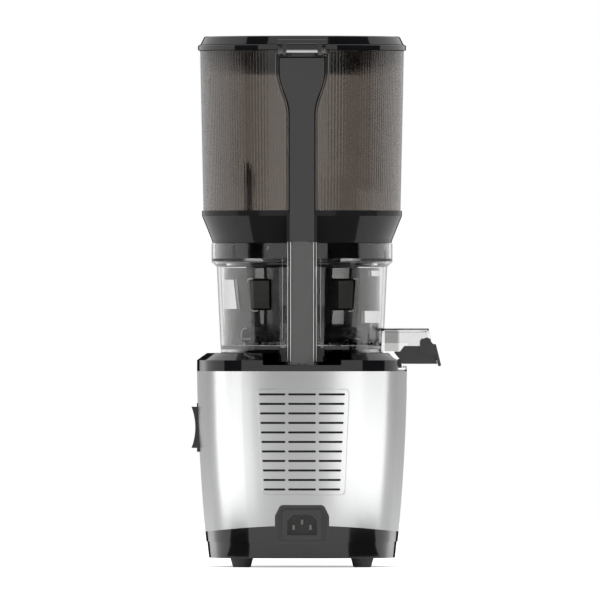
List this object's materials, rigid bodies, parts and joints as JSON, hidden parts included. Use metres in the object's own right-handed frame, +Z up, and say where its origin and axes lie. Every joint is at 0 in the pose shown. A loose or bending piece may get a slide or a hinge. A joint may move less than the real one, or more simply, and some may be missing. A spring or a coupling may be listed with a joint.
{
  "type": "cold press juicer",
  "caption": "Upright slow juicer: tall smoked hopper with hinged lid over a clear bowl with side spout, on a rounded metal base with rear vents and mains inlet.",
  "frame": {"origin": "on the auger's axis, in the plane of the feet's soles", "axes": "+Z up along the auger; +X towards the juice spout; -Y towards the rear with the mains inlet and the vents"},
  "size_m": [0.2079, 0.205, 0.4415],
  "materials": {
    "shell_metal": "satin",
    "cover_gloss": "gloss",
    "tray_plastic": "satin",
    "vent_plastic": "matte",
    "foot_rubber": "matte",
    "screw_steel": "satin",
    "inlet_plastic": "matte",
    "pin_brass": "satin",
    "switch_plastic": "gloss",
    "box_aluminium": "cast",
    "shaft_steel": "ground",
    "gear_plastic": "satin",
    "bearing_steel": "polished",
    "core_steel": "laminated",
    "copper": "enamelled",
    "fan_plastic": "matte",
    "board_green": "satin",
    "component_plastic": "matte",
    "bowl_clear": "clear gloss",
    "silicone_dark": "matte",
    "strainer_plastic": "satin",
    "mesh_steel": "perforated",
    "wiper_smoked": "smoked gloss",
    "auger_plastic": "satin",
    "nozzle_plastic": "satin",
    "rod_plastic": "satin",
    "hopper_base_gloss": "gloss",
    "hopper_smoked": "smoked gloss",
    "spine_plastic": "satin",
    "pin_chrome": "polished",
    "dish_smoked": "smoked gloss"
  },
  "bodies": {
    "base": {"body_shell": "shell_metal", "vent_louvre": "vent_plastic", "top_cover": "cover_gloss", "base_tray": "tray_plastic", "rubber_feet": "foot_rubber", "case_screws": "screw_steel", "inlet_bezel": "inlet_plastic", "inlet_socket": "inlet_plastic", "inlet_pins": "pin_brass", "switch_bezel": "switch_plastic", "gearbox_housing": "box_aluminium", "gearbox_cover": "box_aluminium", "gear_axles": "shaft_steel", "shaft_bearings": "bearing_steel", "shaft_seal": "silicone_dark", "stator_core": "core_steel", "stator_windings": "copper", "motor_top_shield": "box_aluminium", "motor_bottom_shield": "box_aluminium", "motor_bearings": "bearing_steel", "motor_bolts": "screw_steel", "circuit_board": "board_green", "microswitch": "component_plastic", "plunger_spring": "screw_steel", "bowl": "bowl_clear", "bowl_foot": "bowl_clear", "juice_duct": "bowl_clear", "bowl_seal": "silicone_dark", "idler_pin": "shaft_steel", "strainer_frame": "strainer_plastic", "strainer_mesh": "mesh_steel", "juice_nozzle": "nozzle_plastic", "pulp_chute": "strainer_plastic", "pulp_plug": "silicone_dark", "hopper_base": "hopper_base_gloss", "hopper": "hopper_smoked", "hopper_spine": "spine_plastic", "hinge_pin": "pin_chrome"},
    "motor_rotor": {"rotor": "core_steel", "cooling_fan": "fan_plastic", "motor_pinion": "shaft_steel"},
    "first_gear": {"first_gear": "gear_plastic"},
    "second_gear": {"second_gear": "gear_plastic"},
    "auger": {"auger": "auger_plastic", "auger_socket": "shaft_steel", "auger_blade": "shaft_steel", "output_gear": "gear_plastic", "drive_shaft": "shaft_steel"},
    "idler": {"idler_gear": "auger_plastic"},
    "wiper": {"wiper_frame": "wiper_smoked", "wiper_ring": "wiper_smoked", "wiper_blades": "silicone_dark"},
    "lid": {"lid": "cover_gloss", "lid_dish": "dish_smoked"},
    "upper_rod": {"upper_rod": "rod_plastic"},
    "lower_rod": {"lower_rod": "rod_plastic"},
    "plunger": {"interlock_plunger": "rod_plastic"},
    "rocker": {"switch_rocker": "switch_plastic"},
    "juice_cap": {"juice_cap": "nozzle_plastic", "cap_seal": "silicone_dark"}
  },
  "joints": [
    {"name": "motor_spin", "type": "hinge", "parent": "base", "child": "motor_rotor", "pos_m": [0, 0, 0.077], "axis": [0, 0, 1], "continuous": true},
    {"name": "first_gear_spin", "type": "hinge", "parent": "base", "child": "first_gear", "pos_m": [0.02519, 0.01629, 0.125], "axis": [0, 0, 1], "continuous": true},
    {"name": "second_gear_spin", "type": "hinge", "parent": "base", "child": "second_gear", "pos_m": [0, 0.042, 0.135], "axis": [0, 0, 1], "continuous": true},
    {"name": "auger_spin", "type": "hinge", "parent": "base", "child": "auger", "pos_m": [0, 0, 0.2], "axis": [0, 0, 1], "continuous": true},
    {"name": "idler_spin", "type": "hinge", "parent": "base", "child": "idler", "pos_m": [0.03, 0, 0.188], "axis": [0, 0, 1], "continuous": true},
    {"name": "wiper_spin", "type": "hinge", "parent": "base", "child": "wiper", "pos_m": [0, 0, 0.22], "axis": [0, 0, 1], "continuous": true},
    {"name": "lid_hinge", "type": "hinge", "parent": "base", "child": "lid", "pos_m": [0, -0.0895, 0.4286], "axis": [1, 0, 0], "range_deg": [0, 105]},
    {"name": "upper_rod_slide", "type": "slide", "parent": "base", "child": "upper_rod", "axis": [0, 0, 1], "range_m": [0, 0.003]},
    {"name": "lower_rod_slide", "type": "slide", "parent": "base", "child": "lower_rod", "axis": [0, 0, 1], "range_m": [0, 0.003]},
    {"name": "plunger_slide", "type": "slide", "parent": "base", "child": "plunger", "axis": [0, 0, 1], "range_m": [0, 0.003], "deforming": ["plunger_spring"]},
    {"name": "rocker_tilt", "type": "hinge", "parent": "base", "child": "rocker", "pos_m": [-0.0815, 0, 0.116], "axis": [0, 1, 0], "range_deg": [-8, 8]},
    {"name": "cap_hinge", "type": "hinge", "parent": "base", "child": "juice_cap", "pos_m": [0.1039, 0, 0.1879], "axis": [0, -1, 0], "range_deg": [0, 70]}
  ],
  "couplings": [
    {"joint": "first_gear_spin", "follows": "motor_spin", "ratio": -0.33333},
    {"joint": "second_gear_spin", "follows": "motor_spin", "ratio": 0.11111},
    {"joint": "auger_spin", "follows": "motor_spin", "ratio": -0.037037},
    {"joint": "idler_spin", "follows": "motor_spin", "ratio": 0.042328},
    {"joint": "wiper_spin", "follows": "motor_spin", "ratio": 0.013468},
    {"joint": "upper_rod_slide", "follows": "lid_hinge", "m_per_rad": 0.001637},
    {"joint": "lower_rod_slide", "follows": "lid_hinge", "m_per_rad": 0.001637},
    {"joint": "plunger_slide", "follows": "lid_hinge", "m_per_rad": 0.001637}
  ]
}
